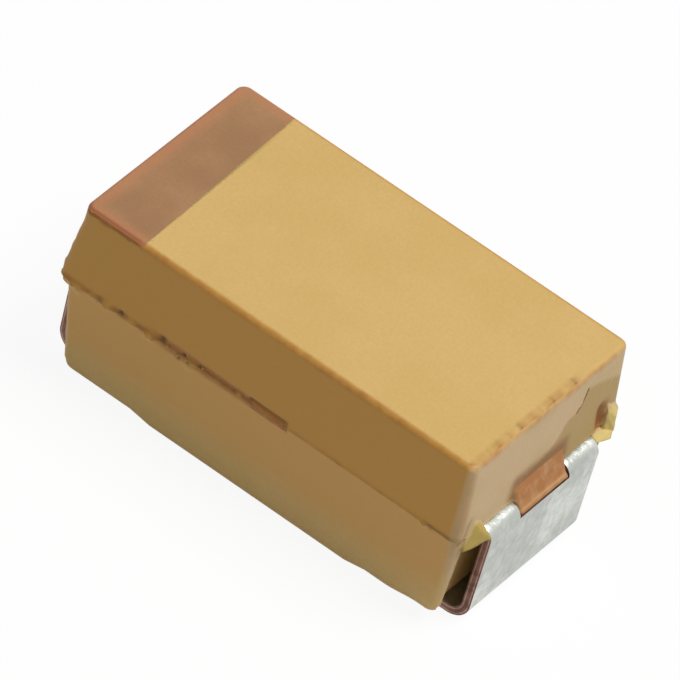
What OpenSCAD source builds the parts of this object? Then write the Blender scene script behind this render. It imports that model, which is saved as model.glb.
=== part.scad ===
// Moulded tantalum chip capacitor, case size C (6032 metric).
// The origin is the centre of the footprint on the board. +X points at the cathode, +Z up.

/* [Case] */
// Length of the epoxy case at its parting line
case_length = 5.9; // [5.7:0.05:6.1]
// Width of the epoxy case at its parting line
case_width = 3.14; // [3.0:0.02:3.4]
// Height of the upper half, from the parting line to the top
upper_height = 1.19; // [1.0:0.01:1.3]
// Height of the lower half, from the parting line to the underside
lower_height = 1.55; // [1.4:0.01:1.7]
// Gap between the underside and the board
stand_off = 0.04; // [0.02:0.01:0.08]
// Draft of the upper half's walls, in degrees
upper_draft = 2.2; // [1:0.1:5]
// Draft of the lower half's walls, in degrees
lower_draft = 4.8; // [2:0.1:7]
// Radius of the four upright corners
corner_radius = 0.12; // [0.08:0.01:0.2]
// Radius of the edges round the top face
top_edge_radius = 0.08; // [0.04:0.01:0.12]
// Radius of the edges round the underside
bottom_edge_radius = 0.13; // [0.05:0.01:0.14]
// How far the lower half lies inside the upper one at the parting line
mould_step = 0.015; // [0:0.005:0.03]

/* [Mould marks] */
// How far the thin rim of flash stands out along the parting line
rim_reach = 0.015; // [0.005:0.005:0.03]
// Thickness of that rim
rim_thickness = 0.03; // [0.02:0.01:0.05]
// Length of the trimmed gate on the long side
gate_length = 0.53; // [0.3:0.01:0.8]
// Distance of the gate from the middle of the case, towards the cathode
gate_offset = 0.12; // [-0.5:0.01:0.5]
// Height of the trimmed gate
gate_height = 0.12; // [0.1:0.01:0.25]
// How far the gate reaches above the parting line
gate_rise = 0.07; // [0:0.01:0.08]
// How far the trimmed gate stands out of the wall
gate_proud = 0.015; // [0.005:0.005:0.015]
// How far the resin boss in each lead's window stands past the lead
boss_proud = 0.01; // [0:0.01:0.05]
// Height above the parting line at which the boss leaves the case
boss_rise = 0.21; // [0.05:0.01:0.3]
// Depth of the boss's underside below the parting line
boss_drop = 0.14; // [0.1:0.01:0.15]
// Depth of the boss's lip below the parting line
lip_drop = 0.06; // [0.03:0.01:0.09]
// How far the lip lies behind the outside of the lead
lip_back = 0.06; // [0.02:0.01:0.1]
// How far the flakes of flash beside each lead stand out of the end
flake_reach = 0.16; // [0.1:0.01:0.17]
// Height of those flakes above the parting line
flake_height = 0.32; // [0.15:0.01:0.35]
// Depth of those flakes below the parting line
flake_drop = 0.16; // [0.05:0.01:0.2]

/* [Lead pockets] */
// Depth of the pocket behind each lead
pocket_depth = 0.1; // [0.06:0.01:0.15]
// Room between a lead's edge and the side of its pocket
pocket_margin = 0.25; // [0.1:0.01:0.3]
// Gap between a foot and the case above it
foot_gap = 0.03; // [0.005:0.005:0.04]
// Gap between the end of a foot and the ramp up to the land above it
land_margin = 0.05; // [0.05:0.05:0.3]
// Length of that ramp
land_ramp = 0.3; // [0.2:0.05:0.8]

/* [Leads] */
// Thickness of the lead-frame strip
lead_thickness = 0.12; // [0.08:0.01:0.14]
// Width of the lead-frame strip
lead_width = 2.12; // [1.9:0.02:2.3]
// Width of the window in the strip at the shoulder
window_width = 0.96; // [0.8:0.02:1.2]
// How far the window runs down the end of the case
window_drop = 0.17; // [0.16:0.01:0.25]
// How far the window runs into the case
window_inset = 0.15; // [0.1:0.01:0.2]
// Length of each foot, from the outside of the lead
foot_length = 1.3; // [1.1:0.05:1.5]
// Inside radius of the shoulder and of the bends in the case
shoulder_radius = 0.05; // [0.03:0.01:0.08]
// Inside radius of the heel, where the lead turns under the case
heel_radius = 0.18; // [0.15:0.01:0.2]
// Inward lean of the cathode lead below its shoulder, in degrees
cathode_lean = 2.5; // [0:0.5:3]
// Inward lean of the anode lead below its shoulder, in degrees
anode_lean = 0; // [0:0.5:3]
// How far both leads lie off the middle of the case, towards the side of the gate
lead_offset = 0.03; // [0:0.01:0.05]

/* [Capacitor element] */
// Length of the sintered pellet
pellet_length = 3.4; // [3.0:0.05:3.5]
// Width of the sintered pellet
pellet_width = 2.2; // [1.9:0.05:2.3]
// Height of the sintered pellet
pellet_height = 1.5; // [1.3:0.05:1.6]
// Radius of the pellet's long edges
pellet_edge_radius = 0.12; // [0.05:0.01:0.2]
// Distance from the anode end of the case to the pellet
pellet_inset = 1.47; // [1.4:0.01:1.5]
// Thickness of the manganese dioxide coat
dioxide_thickness = 0.04; // [0.02:0.01:0.05]
// Thickness of the graphite coat
graphite_thickness = 0.02; // [0.01:0.005:0.03]
// Thickness of the silver paint
silver_thickness = 0.03; // [0.02:0.005:0.04]
// How far each coat stops short of the one under it, at the anode end
coat_step = 0.1; // [0.05:0.05:0.2]
// Thickness of the silver adhesive under and behind the element
adhesive_thickness = 0.05; // [0.03:0.01:0.06]
// How far the silver adhesive climbs behind the element
adhesive_climb = 0.5; // [0.3:0.05:0.7]
// How far the adhesive stays inside the edges of the paddle
adhesive_margin = 0.2; // [0.1:0.05:0.4]

/* [Riser wire] */
// Diameter of the tantalum wire
wire_diameter = 0.32; // [0.24:0.02:0.4]
// How far the wire runs on over the anode lead
weld_length = 0.4; // [0.2:0.02:0.42]
// How deep the weld presses the wire on to the lead
weld_sink = 0.03; // [0.01:0.01:0.05]
// Outside diameter of the washer on the wire
washer_diameter = 0.9; // [0.7:0.05:1.1]
// Thickness of the washer
washer_thickness = 0.12; // [0.08:0.01:0.15]
// Gap between the washer and the end of the anode lead's pad
wire_gap = 0.06; // [0.04:0.01:0.1]
// Depth of the wire inside the pellet
wire_depth = 2.2; // [1.5:0.1:2.6]

/* [Inside leads] */
// Length of the anode lead's pad under the wire
pad_length = 0.42; // [0.4:0.01:0.45]
// Slope of the crank in the anode lead, in degrees
crank_angle = 45; // [40:1:60]
// Length of the cathode lead's paddle under the element
paddle_length = 1.5; // [1.2:0.1:1.8]

/* [Polarity bar] */
// Width of the bar, from the edge of the top face
bar_width = 0.86; // [0.5:0.02:1.0]
// Depth to which the bar colours the resin
bar_depth = 0.03; // [0.02:0.005:0.05]

/* [Hidden] */

wire_sides = 64;
corner_steps = 6;    // flats in a quarter of a rounded corner
edge_steps = 5;      // flats across a rounded edge
bend_steps = 8;      // flats in a bend of the strip
beyond = 1;          // how far a cutting shape runs past what it cuts
root = 0.1;          // how deep a small feature is rooted in the case

// Levels and walls of the case
parting_z = stand_off + lower_height;
top_z = parting_z + upper_height;
upper_inset = upper_height * tan(upper_draft);
end_x = case_length / 2;
side_y = case_width / 2;

// The lead-frame strip, by its middle line
bend_radius = shoulder_radius + lead_thickness / 2;
heel_bend_radius = heel_radius + lead_thickness / 2;
lead_z = parting_z - lead_thickness / 2;
lead_face_x = end_x + shoulder_radius + lead_thickness;
foot_end_x = lead_face_x - foot_length;
land_z = lead_thickness + foot_gap;
land_start_x = foot_end_x - land_margin;

// The element and what touches it
coat_thickness = dioxide_thickness + graphite_thickness + silver_thickness;
element_z = (stand_off + top_z) / 2;
element_start_x = -end_x + pellet_inset;
element_end_x = element_start_x + pellet_length + coat_thickness;
element_base_z = element_z - pellet_height / 2 - coat_thickness;
wire_start_x = element_start_x - washer_thickness - wire_gap - weld_length;

// The leads inside the case
pad_z = element_z - wire_diameter / 2 + weld_sink - lead_thickness / 2;
pad_end_x = element_start_x - washer_thickness - wire_gap;
crank_run = (lead_z - pad_z - 2 * bend_radius * (1 - cos(crank_angle))) / sin(crank_angle);
crank_length = 2 * bend_radius * sin(crank_angle) + crank_run * cos(crank_angle);
paddle_z = element_base_z - adhesive_thickness - lead_thickness / 2;
riser_x = element_end_x + adhesive_thickness + lead_thickness / 2;
riser_run = lead_z - paddle_z - 2 * bend_radius;
paddle_start_x = riser_x - bend_radius - paddle_length;

resin = "#c49a5a";
resin_mark = "#a9784f";
tinned = "#b9bdb8";
tantalum = "#5f6266";

// ---- Shapes that several pieces use ----

// Outline of a rectangle with rounded corners
function rounded_outline(length, width, radius) =
    [for (corner = [0:3], step = [0:corner_steps])
        let (angle = 90 * (corner + step / corner_steps),
             right = (corner == 0 || corner == 3) ? 1 : -1,
             back = corner < 2 ? 1 : -1)
        [right * (length / 2 - radius) + radius * cos(angle),
         back * (width / 2 - radius) + radius * sin(angle)]];

// One level of the case: its outline drawn in by inset, at height z
function case_ring(inset, z) =
    [for (point = rounded_outline(case_length - 2 * inset, case_width - 2 * inset,
                                  corner_radius))
        [point[0], point[1], z]];

// Skin over a stack of rings, lowest first, that all have the same number of points
module loft(rings) {
    count = len(rings[0]);
    last = len(rings) - 1;
    polyhedron(
        points = [for (ring = rings) each ring],
        faces = concat(
            [[for (i = [0:count - 1]) i]],
            [for (level = [0:last - 1], i = [0:count - 1])
                let (low = level * count, next = (i + 1) % count)
                [low + i, low + count + i, low + count + next, low + next]],
            [[for (i = [0:count - 1]) last * count + count - 1 - i]]));
}

// Extrudes an outline drawn in X and Z to a width that is centred on Y
module across(width) {
    rotate([90, 0, 0])
        linear_extrude(width, center = true)
            children();
}

// The same thing at the cathode end and, mirrored, at the anode end
module both_ends() {
    children();
    mirror([1, 0, 0])
        children();
}

// Moves what belongs to the leads to where they lie across the case
module in_line() {
    translate([0, -lead_offset, 0])
        children();
}

// A bar along X from x_start to x_end, centred on the element's axis, with rounded long edges
module element_bar(x_start, x_end, grow) {
    translate([x_start, 0, element_z])
        rotate([90, 0, 90])
            linear_extrude(x_end - x_start)
                polygon(rounded_outline(pellet_width + 2 * grow, pellet_height + 2 * grow,
                                        pellet_edge_radius + grow));
}

// ---- The lead-frame strip ----

function ahead(heading) = [cos(heading), sin(heading)];
function left_of(heading) = [-sin(heading), cos(heading)];

// Stations [place, heading] along a strip that goes through moves of [run, turn, radius]
function strip_route(place, heading, moves, i = 0) =
    let (move = moves[i], side = sign(move[1]),
         bend_start = place + move[0] * ahead(heading),
         centre = bend_start + side * move[2] * left_of(heading))
    i == len(moves) - 1 ? [[place, heading], [bend_start, heading]] :
    concat([[place, heading]],
           [for (step = [0:bend_steps - 1])
                let (turned = heading + move[1] * step / bend_steps)
                [centre - side * move[2] * left_of(turned), turned]],
           strip_route(centre - side * move[2] * left_of(heading + move[1]),
                       heading + move[1], moves, i + 1));

// Both sides of the strip along its stations
function strip_outline(stations) =
    let (half = lead_thickness / 2, last = len(stations) - 1)
    concat([for (i = [0:last]) stations[i][0] + half * left_of(stations[i][1])],
           [for (i = [last:-1:0]) stations[i][0] - half * left_of(stations[i][1])]);

// A lead at the cathode end: its inside moves, then out of the case, down the end and under it
module lead_strip(start, inside_moves, outlet_run, lean) {
    end_run = (lead_z - lead_thickness / 2 - bend_radius * (1 + sin(lean))
               - heel_bend_radius * (1 - sin(lean))) / cos(lean);
    heel_end_x = end_x + (bend_radius - heel_bend_radius) * cos(lean) - end_run * sin(lean);
    outside_moves = [[outlet_run, -90 - lean, bend_radius],
                     [end_run, -90 + lean, heel_bend_radius],
                     [heel_end_x - foot_end_x, 0, 0]];
    in_line()
        difference() {
            across(lead_width)
                polygon(strip_outline(strip_route(start, 0, concat(inside_moves, outside_moves))));
            lead_window();
        }
}

// The window at the shoulder, through which the resin of both halves joins
module lead_window() {
    translate([end_x - window_inset, -window_width / 2, parting_z - window_drop])
        cube([window_inset + shoulder_radius + lead_thickness + beyond, window_width,
              window_drop + beyond]);
}

module anode_lead_shape() {
    difference() {
        mirror([1, 0, 0])
            lead_strip([-pad_end_x, pad_z],
                       [[pad_length, crank_angle, bend_radius],
                        [crank_run, -crank_angle, bend_radius]],
                       end_x + pad_end_x - pad_length - crank_length, anode_lean);
        riser_wire_shape();
    }
}

module cathode_lead_shape() {
    lead_strip([paddle_start_x, paddle_z],
               [[paddle_length, 90, bend_radius],
                [riser_run, -90, bend_radius]],
               end_x - riser_x - bend_radius, cathode_lean);
}

module anode_lead() {
    color(tinned)
        anode_lead_shape();
}

module cathode_lead() {
    color(tinned)
        cathode_lead_shape();
}

// ---- The case ----

module upper_half() {
    rounded_z = top_z - top_edge_radius;
    loft(concat(
        [case_ring(0, parting_z)],
        [for (step = [0:edge_steps])
            let (angle = 90 * step / edge_steps,
                 z = rounded_z + top_edge_radius * sin(angle))
            case_ring((z - parting_z) * tan(upper_draft) + top_edge_radius * (1 - cos(angle)), z)]));
}

module lower_half() {
    rounded_z = stand_off + bottom_edge_radius;
    loft(concat(
        [for (step = [edge_steps:-1:0])
            let (angle = 90 * step / edge_steps,
                 z = rounded_z - bottom_edge_radius * sin(angle))
            case_ring(mould_step + (parting_z - z) * tan(lower_draft)
                      + bottom_edge_radius * (1 - cos(angle)), z)],
        [case_ring(mould_step, parting_z)]));
}

// The land over a foot, with the ramp that leads up to it
module land_cut() {
    across(case_width + beyond)
        polygon([[land_start_x - land_ramp, stand_off],
                 [land_start_x, land_z],
                 [end_x + beyond, land_z],
                 [end_x + beyond, stand_off - beyond],
                 [land_start_x - land_ramp, stand_off - beyond]]);
}

// The pocket that keeps the end wall clear of the lead; its floor has the wall's draft
module pocket_cut() {
    floor_x = end_x - mould_step - pocket_depth;
    pocket_z = parting_z - lead_thickness;
    in_line()
        across(lead_width + 2 * pocket_margin)
            polygon([[floor_x - lead_thickness * tan(lower_draft), pocket_z],
                     [floor_x - parting_z * tan(lower_draft), 0],
                     [end_x + beyond, 0],
                     [end_x + beyond, pocket_z]]);
}

// Thin rim of flash all round the parting line
module rim() {
    translate([0, 0, parting_z])
        linear_extrude(rim_thickness)
            polygon(rounded_outline(case_length + 2 * rim_reach, case_width + 2 * rim_reach,
                                    corner_radius + rim_reach));
}

// Resin that fills the window of a lead and stands a little past it
module boss() {
    low_z = parting_z - boss_drop;
    high_z = parting_z + boss_rise;
    in_line()
        across(window_width)
            polygon([[end_x - window_inset, low_z],
                     [lead_face_x + boss_proud, low_z],
                     [lead_face_x - lip_back, parting_z - lip_drop],
                     [end_x - boss_rise * tan(upper_draft), high_z],
                     [end_x - window_inset, high_z]]);
}

// Flake of flash between a lead's shoulder and the corner of the case
module flake(side) {
    lead_y = side * lead_width / 2 - lead_offset;
    corner_y = side * (side_y - corner_radius);
    root_x = end_x - root;
    low_z = parting_z - flake_drop;
    polyhedron(
        points = [[root_x, lead_y, low_z],
                  [root_x, corner_y, low_z],
                  [root_x, (lead_y + corner_y) / 2, parting_z + flake_height],
                  [end_x + flake_reach, lead_y, parting_z - flake_drop / 2]],
        faces = side > 0 ? [[0, 1, 2], [0, 3, 1], [1, 3, 2], [2, 3, 0]]
                         : [[0, 2, 1], [0, 1, 3], [1, 2, 3], [2, 0, 3]]);
}

// What is left of the gate, on one long side
module gate() {
    translate([gate_offset - gate_length / 2, -side_y - gate_proud,
               parting_z + gate_rise - gate_height])
        cube([gate_length, gate_proud + root, gate_height]);
}

// The part of the top face that the polarity bar colours
module bar_region() {
    translate([-end_x - beyond, -side_y - beyond, top_z - bar_depth])
        cube([upper_inset + bar_width + beyond, case_width + 2 * beyond, bar_depth + beyond]);
}

// Everything that the resin is moulded round
module moulded_in() {
    anode_lead_shape();
    cathode_lead_shape();
    riser_wire_shape();
    washer_shape();
    element_bar(element_start_x, element_end_x - graphite_thickness - silver_thickness,
                dioxide_thickness);
    element_bar(element_start_x + coat_step, element_end_x - silver_thickness,
                dioxide_thickness + graphite_thickness);
    element_bar(element_start_x + 2 * coat_step, element_end_x, coat_thickness);
    adhesive_shape();
}

module case() {
    color(resin)
        difference() {
            union() {
                difference() {
                    lower_half();
                    both_ends() {
                        land_cut();
                        pocket_cut();
                    }
                }
                upper_half();
                rim();
                gate();
                both_ends() {
                    boss();
                    flake(1);
                    flake(-1);
                }
            }
            bar_region();
            moulded_in();
        }
}

module polarity_bar() {
    color(resin_mark)
        intersection() {
            upper_half();
            bar_region();
        }
}

// ---- The element ----

module riser_wire_shape() {
    translate([wire_start_x, 0, element_z])
        rotate([0, 90, 0])
            cylinder(h = element_start_x + wire_depth - wire_start_x, d = wire_diameter,
                     $fn = wire_sides);
}

module washer_shape() {
    translate([element_start_x - washer_thickness, 0, element_z])
        rotate([0, 90, 0])
            cylinder(h = washer_thickness, d = washer_diameter, $fn = wire_sides);
}

// Adhesive between the element and the paddle, and up the riser behind the element
module adhesive_shape() {
    low_z = element_base_z - adhesive_thickness;
    back_x = element_end_x + adhesive_thickness;
    difference() {
        across(lead_width - 2 * (adhesive_margin + lead_offset))
            polygon([[paddle_start_x + adhesive_margin, low_z],
                     [back_x, low_z],
                     [back_x, element_base_z + adhesive_climb],
                     [element_end_x, element_base_z + adhesive_climb],
                     [element_end_x, element_base_z],
                     [paddle_start_x + adhesive_margin, element_base_z]]);
        cathode_lead_shape();
    }
}

// One coat on the element: a sleeve with a closed back, over what is grow_in thick already
module coat(start_x, grow_in, thickness) {
    back_x = element_start_x + pellet_length + grow_in;
    difference() {
        element_bar(start_x, back_x + thickness, grow_in + thickness);
        element_bar(start_x - beyond, back_x, grow_in);
    }
}

module riser_wire() {
    color(tantalum)
        riser_wire_shape();
}

module wire_washer() {
    color("white")
        difference() {
            washer_shape();
            riser_wire_shape();
        }
}

module pellet() {
    color(tantalum)
        difference() {
            element_bar(element_start_x, element_start_x + pellet_length, 0);
            riser_wire_shape();
        }
}

module manganese_dioxide() {
    color("#2b2826")
        coat(element_start_x, 0, dioxide_thickness);
}

module graphite() {
    color("#3a3c40")
        coat(element_start_x + coat_step, dioxide_thickness, graphite_thickness);
}

module silver_paint() {
    color("#c9cbcc")
        coat(element_start_x + 2 * coat_step, dioxide_thickness + graphite_thickness,
             silver_thickness);
}

module silver_adhesive() {
    color("#a7a9ab")
        adhesive_shape();
}

case();
polarity_bar();
anode_lead();
cathode_lead();
riser_wire();
wire_washer();
pellet();
manganese_dioxide();
graphite();
silver_paint();
silver_adhesive();
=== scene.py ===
import math

import bmesh
import bpy
import numpy as np
from mathutils import Matrix, Vector, noise


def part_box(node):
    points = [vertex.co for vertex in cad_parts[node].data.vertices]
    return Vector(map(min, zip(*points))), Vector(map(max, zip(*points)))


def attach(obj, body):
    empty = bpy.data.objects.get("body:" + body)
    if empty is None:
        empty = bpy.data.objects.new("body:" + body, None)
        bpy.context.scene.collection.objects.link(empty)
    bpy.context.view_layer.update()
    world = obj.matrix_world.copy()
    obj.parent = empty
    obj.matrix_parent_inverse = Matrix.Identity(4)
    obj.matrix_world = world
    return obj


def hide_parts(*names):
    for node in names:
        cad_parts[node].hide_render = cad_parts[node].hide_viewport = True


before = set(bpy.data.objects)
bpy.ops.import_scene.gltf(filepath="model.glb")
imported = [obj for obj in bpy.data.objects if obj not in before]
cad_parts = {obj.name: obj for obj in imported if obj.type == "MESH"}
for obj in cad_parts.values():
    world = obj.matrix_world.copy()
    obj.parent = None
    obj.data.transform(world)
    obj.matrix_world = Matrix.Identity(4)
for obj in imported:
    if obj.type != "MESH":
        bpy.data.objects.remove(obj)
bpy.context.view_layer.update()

mm = 0.001  # everything is drawn in millimetres, and settle() brings it to metres


# ---- places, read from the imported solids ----

def boxInMm(node):
    low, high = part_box(node)
    return low / mm, high / mm


# strip of the lead frame
stripThickness = 0.12
shoulderBend = 0.05     # inside radius where the strip leaves the case
heelBend = 0.18         # inside radius where it turns under the case
cathodeLean = 2.5       # degrees that each strip leans in below its shoulder
anodeLean = 0.0
footLength = 1.3
windowWidth = 0.96
windowDrop = 0.17       # window's lower edge below the parting line
windowInset = 0.15      # how far the window runs into the case
edgeRound = 0.014       # rounding left by the stamping tool

# case; the drafts are in degrees
rimReach = 0.015
rimThickness = 0.03
cornerRound = 0.12
topRound = 0.08
crispTopRound = 0.05    # along the far side and the anode end
bottomRound = 0.11
upperDraft = 2.2
lowerDraft = 4.8
mouldStep = 0.015       # the lower half is this much smaller at the parting line
landGap = 0.03          # between a foot and the land over it
landMargin = 0.05
landRamp = 0.3
landDrop = 0.055        # they hang this much lower along the long sides, but not at the cathode
pocketDepth = 0.1
pocketMargin = 0.25
bossRise = 0.21
bossDrop = 0.14
lipDrop = 0.06
lipBack = 0.06
pointSpacing = 0.025    # between the points of an outline

leadLow, leadHigh = boxInMm("cathode_lead")
leadHalf = (leadHigh.y - leadLow.y) / 2
leadY = (leadHigh.y + leadLow.y) / 2      # the leads lie a little off the middle
caseLow, caseHigh = boxInMm("case")
barLow, barHigh = boxInMm("polarity_bar")

partingZ = leadHigh.z
topZ = caseHigh.z
baseZ = caseLow.z
leadFaceX = leadHigh.x
halfLength = leadFaceX - stripThickness - shoulderBend
halfWidth = caseHigh.y - rimReach
upperSlope = math.tan(math.radians(upperDraft))
lowerSlope = math.tan(math.radians(lowerDraft))
landZ = stripThickness + landGap
footEndX = leadFaceX - footLength


# ---- small tools ----

def linearColour(hexText):
    # sRGB hex to the linear values that the shaders use
    parts = [int(hexText[i:i + 2], 16) / 255 for i in (1, 3, 5)]
    return [p / 12.92 if p <= 0.04045 else ((p + 0.055) / 1.055) ** 2.4 for p in parts] + [1.0]


def addNode(tree, kind, inputs=None, **settings):
    # one node, its settings, and its inputs as values or as sockets to link
    node = tree.nodes.new(kind)
    for name, value in settings.items():
        setattr(node, name, value)
    for name, value in (inputs or {}).items():
        socket = (node.inputs[name] if isinstance(name, int)
                  else next(s for s in node.inputs if name in (s.identifier, s.name)))
        if isinstance(value, bpy.types.NodeSocket):
            tree.links.new(value, socket)
        elif isinstance(value, str):
            socket.default_value = linearColour(value)
        else:
            socket.default_value = value
    return node


def maths(tree, operation, first, second=0.0, third=0.0):
    return addNode(tree, "ShaderNodeMath", {0: first, 1: second, 2: third}, operation=operation).outputs[0]


def rampTo(tree, value, low, high, bottom=0.0, top=1.0):
    # smooth passage from bottom to top while the value goes from low to high
    return addNode(tree, "ShaderNodeMapRange", {"Value": value, "From Min": low, "From Max": high,
                                                "To Min": bottom, "To Max": top},
                   interpolation_type="SMOOTHSTEP").outputs["Result"]


def mixColour(tree, share, first, second):
    node = addNode(tree, "ShaderNodeMix", {"Factor_Float": share, "A_Color": first, "B_Color": second},
                   data_type="RGBA")
    return next(o for o in node.outputs if o.identifier == "Result_Color")


def tinted(tree, colour, *layers):
    # each layer is a share and the colour that it lays over those before it
    for share, over in layers:
        colour = mixColour(tree, share, colour, over)
    return colour


def noiseIn(tree, place, perMm, detail=3.0, roughness=0.55, stretch=(1, 1, 1)):
    # noise with this many cells to the millimetre
    scaled = addNode(tree, "ShaderNodeVectorMath", {0: place, 1: stretch}, operation="MULTIPLY")
    return addNode(tree, "ShaderNodeTexNoise", {"Vector": scaled.outputs[0], "Scale": perMm,
                                                "Detail": detail, "Roughness": roughness}).outputs[0]


def emptyTree(owner):
    owner.use_nodes = True
    owner.node_tree.nodes.clear()
    return owner.node_tree


def startMaterial(name, **settings):
    # a material with its shader, and the place on the piece in millimetres
    material = bpy.data.materials.get(name) or bpy.data.materials.new(name)
    tree = emptyTree(material)
    shader = addNode(tree, "ShaderNodeBsdfPrincipled", settings)
    addNode(tree, "ShaderNodeOutputMaterial", {"Surface": shader.outputs[0]})
    place = addNode(tree, "ShaderNodeVectorMath", {
        0: addNode(tree, "ShaderNodeTexCoord").outputs["Object"], "Scale": 1 / mm}, operation="SCALE")
    return material, tree, shader, place.outputs[0]


def finishMaterial(material, shader, colour, relief, depthMm):
    tree = material.node_tree
    bump = addNode(tree, "ShaderNodeBump", {"Height": relief, "Distance": depthMm * mm, "Strength": 1.0})
    tree.links.new(colour, shader.inputs["Base Color"])
    tree.links.new(bump.outputs[0], shader.inputs["Normal"])
    return material


def smoothStep(low, high, value):
    share = np.clip((value - low) / (high - low), 0, 1)
    return share * share * (3 - 2 * share)


def bell(value, width):
    # 1 where the value is nought, next to nothing two widths away
    return np.exp(-(value / width) ** 2)


def noiseAt(points, scale, offset=0.0):
    # smooth noise between -1 and 1 at each point, the same on every run
    shift = Vector((offset, offset * 0.7, -offset))
    return np.array([noise.noise(Vector(p) * scale + shift) for p in points])


def pointsOf(mesh):
    places = np.zeros(len(mesh.vertices) * 3)
    mesh.vertices.foreach_get("co", places)
    return places.reshape(-1, 3)


def placeObject(name, data):
    made = bpy.data.objects.new(name, data)
    bpy.context.scene.collection.objects.link(made)
    return made


def newObject(name, vertices, faces):
    mesh = bpy.data.meshes.new(name)
    mesh.from_pydata([tuple(v) for v in vertices], [], faces)
    mesh.validate()
    return placeObject(name, mesh)


def fromShape(name, shape):
    mesh = bpy.data.meshes.new(name)
    shape.to_mesh(mesh)
    shape.free()
    return placeObject(name, mesh)


def bakeModifiers(piece):
    # the evaluated result becomes the plain mesh
    graph = bpy.context.evaluated_depsgraph_get()
    mesh = bpy.data.meshes.new_from_object(piece.evaluated_get(graph), preserve_all_data_layers=True,
                                           depsgraph=graph)
    piece.modifiers.clear()
    piece.data = mesh
    return piece


def smoothByAngle(piece, degrees):
    # smooth faces, with the edges over this angle left sharp
    mesh = piece.data
    mesh.polygons.foreach_set("use_smooth", [True] * len(mesh.polygons))
    mesh.set_sharp_from_angle(angle=math.radians(degrees))


def combine(piece, cutter, operation):
    boolean = piece.modifiers.new("combine", "BOOLEAN")
    boolean.operation = operation
    boolean.solver = "EXACT"
    boolean.object = cutter
    bakeModifiers(piece)


def discard(thing):
    bpy.data.objects.remove(thing, do_unlink=True)


def settle(piece, material, slotName, *nodes):
    # from millimetres to metres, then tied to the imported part
    piece.data.transform(Matrix.Scale(mm, 4))
    if material:
        piece.data.materials.clear()
        piece.data.materials.append(material)
    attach(piece, "root")
    if nodes:
        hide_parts(*nodes)
    return piece


# ---- camera ----

cameraSize = {
    "azimuth": 27.79,
    "elevation": 44.3,
    "roll": 14.04,
    "distance": 150.0,
    "pixelsPerMm": 85.32,
    "picture": 680,
    "shiftRight": -0.0023,   # from the middle of the case at the parting line to the aim, mm
    "shiftUp": 0.0574,
}


def makeCamera():
    turn, rise, roll = (math.radians(cameraSize[k]) for k in ("azimuth", "elevation", "roll"))
    back = Vector((math.sin(turn) * math.cos(rise), -math.cos(turn) * math.cos(rise), math.sin(rise)))
    level = Vector((math.cos(turn), math.sin(turn), 0))
    upright = back.cross(level)
    right = level * math.cos(roll) + upright * math.sin(roll)
    up = upright * math.cos(roll) - level * math.sin(roll)
    aim = Vector((0, 0, partingZ)) + right * cameraSize["shiftRight"] + up * cameraSize["shiftUp"]
    camera = placeObject("camera", bpy.data.cameras.new("camera"))
    camera.data.sensor_width = 36
    camera.data.lens = (cameraSize["distance"] * cameraSize["pixelsPerMm"] / cameraSize["picture"]
                        * camera.data.sensor_width)
    camera.data.clip_start = 0.01
    camera.data.clip_end = 10
    place = Matrix((right, up, back)).transposed().to_4x4()
    place.translation = (aim + back * cameraSize["distance"]) * mm
    camera.matrix_world = place
    bpy.context.scene.camera = camera


makeCamera()
print("camera placed")


# ---- the moulded case ----

# marks on the near long side: x, height over the parting line, radius, height of the bump, all mm
sideBlobs = [
    (-2.72, -0.04, 0.075, 0.0375), (-2.29, 0.03, 0.07, 0.05625), (-2.5, 0.0, 0.06, 0.01875),
    (-1.65, -0.01, 0.065, 0.0625), (-1.92, 0.01, 0.06, 0.025), (-1.05, -0.06, 0.07, 0.0275),
    (-0.31, 0.02, 0.03, 0.0275), (2.45, -0.02, 0.035, 0.04375),
]
sidePits = [
    (-2.09, 0.03, 0.045, 0.04), (-1.47, 0.06, 0.055, 0.028), (-1.15, 0.03, 0.035, 0.045),
    (-1.22, -0.07, 0.022, 0.025), (-0.9, 0.03, 0.035, 0.02), (-0.14, 0.07, 0.025, 0.025),
    (2.54, 0.0, 0.035, 0.02),
]
gateMark = {"x": 0.13, "length": 0.53, "height": 0.15, "rise": 0.085, "proud": 0.02, "groove": 0.012}

# the swollen upright corner beside the anode: how far it stands out at each height
cornerSwell = [(-0.12, 0), (-0.06, 0.075), (0.05, 0.09), (0.5, 0.055), (0.93, 0)]

# cathode end: brown spots where the top meets it (y, half width, strength), the crack from its top
# down, the hollow and the slot beside the flakes, these three painted dark as shade, and the upper
# limit of the painted shade on the lower end (y, height)
edgeSpots = [(-1.15, 0.024, 0.45), (-0.96, 0.02, 0.4), (-0.76, 0.022, 0.55), (-0.54, 0.034, 1.0),
             (-0.3, 0.03, 0.35), (-0.15, 0.02, 0.5), (0.09, 0.04, 0.9), (0.24, 0.02, 0.5), (0.52, 0.036, 1.0)]
endCrack = [(0.75, 0.96), (0.72, 0.865), (0.688, 0.768), (0.635, 0.715), (0.578, 0.676)]
endHollow = {"y": 1.2, "slant": 0.1, "height": 0.2, "halfWidth": 0.085, "halfHeight": 0.22, "depth": 0.05}
endSlot = {"y": -1.44, "slant": 0.25, "halfWidth": 0.03, "depth": 0.02}
shadeLimit = [(-0.75, 0.16), (-0.3, 0.24), (0.1, 0.36), (0.25, 0.467), (0.34, 0.555), (0.377, 0.631),
              (0.48, 0.676), (0.578, 0.68), (0.69, 0.77), (0.75, 0.96), (1.0, 0.9), (1.5, 0.7)]

# what the case's points store for its material, one channel each
brown, dark, flash, oliveShade = range(4)


def paint(marks, channel, amount):
    marks[:, channel] = np.maximum(marks[:, channel], amount)


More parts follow.
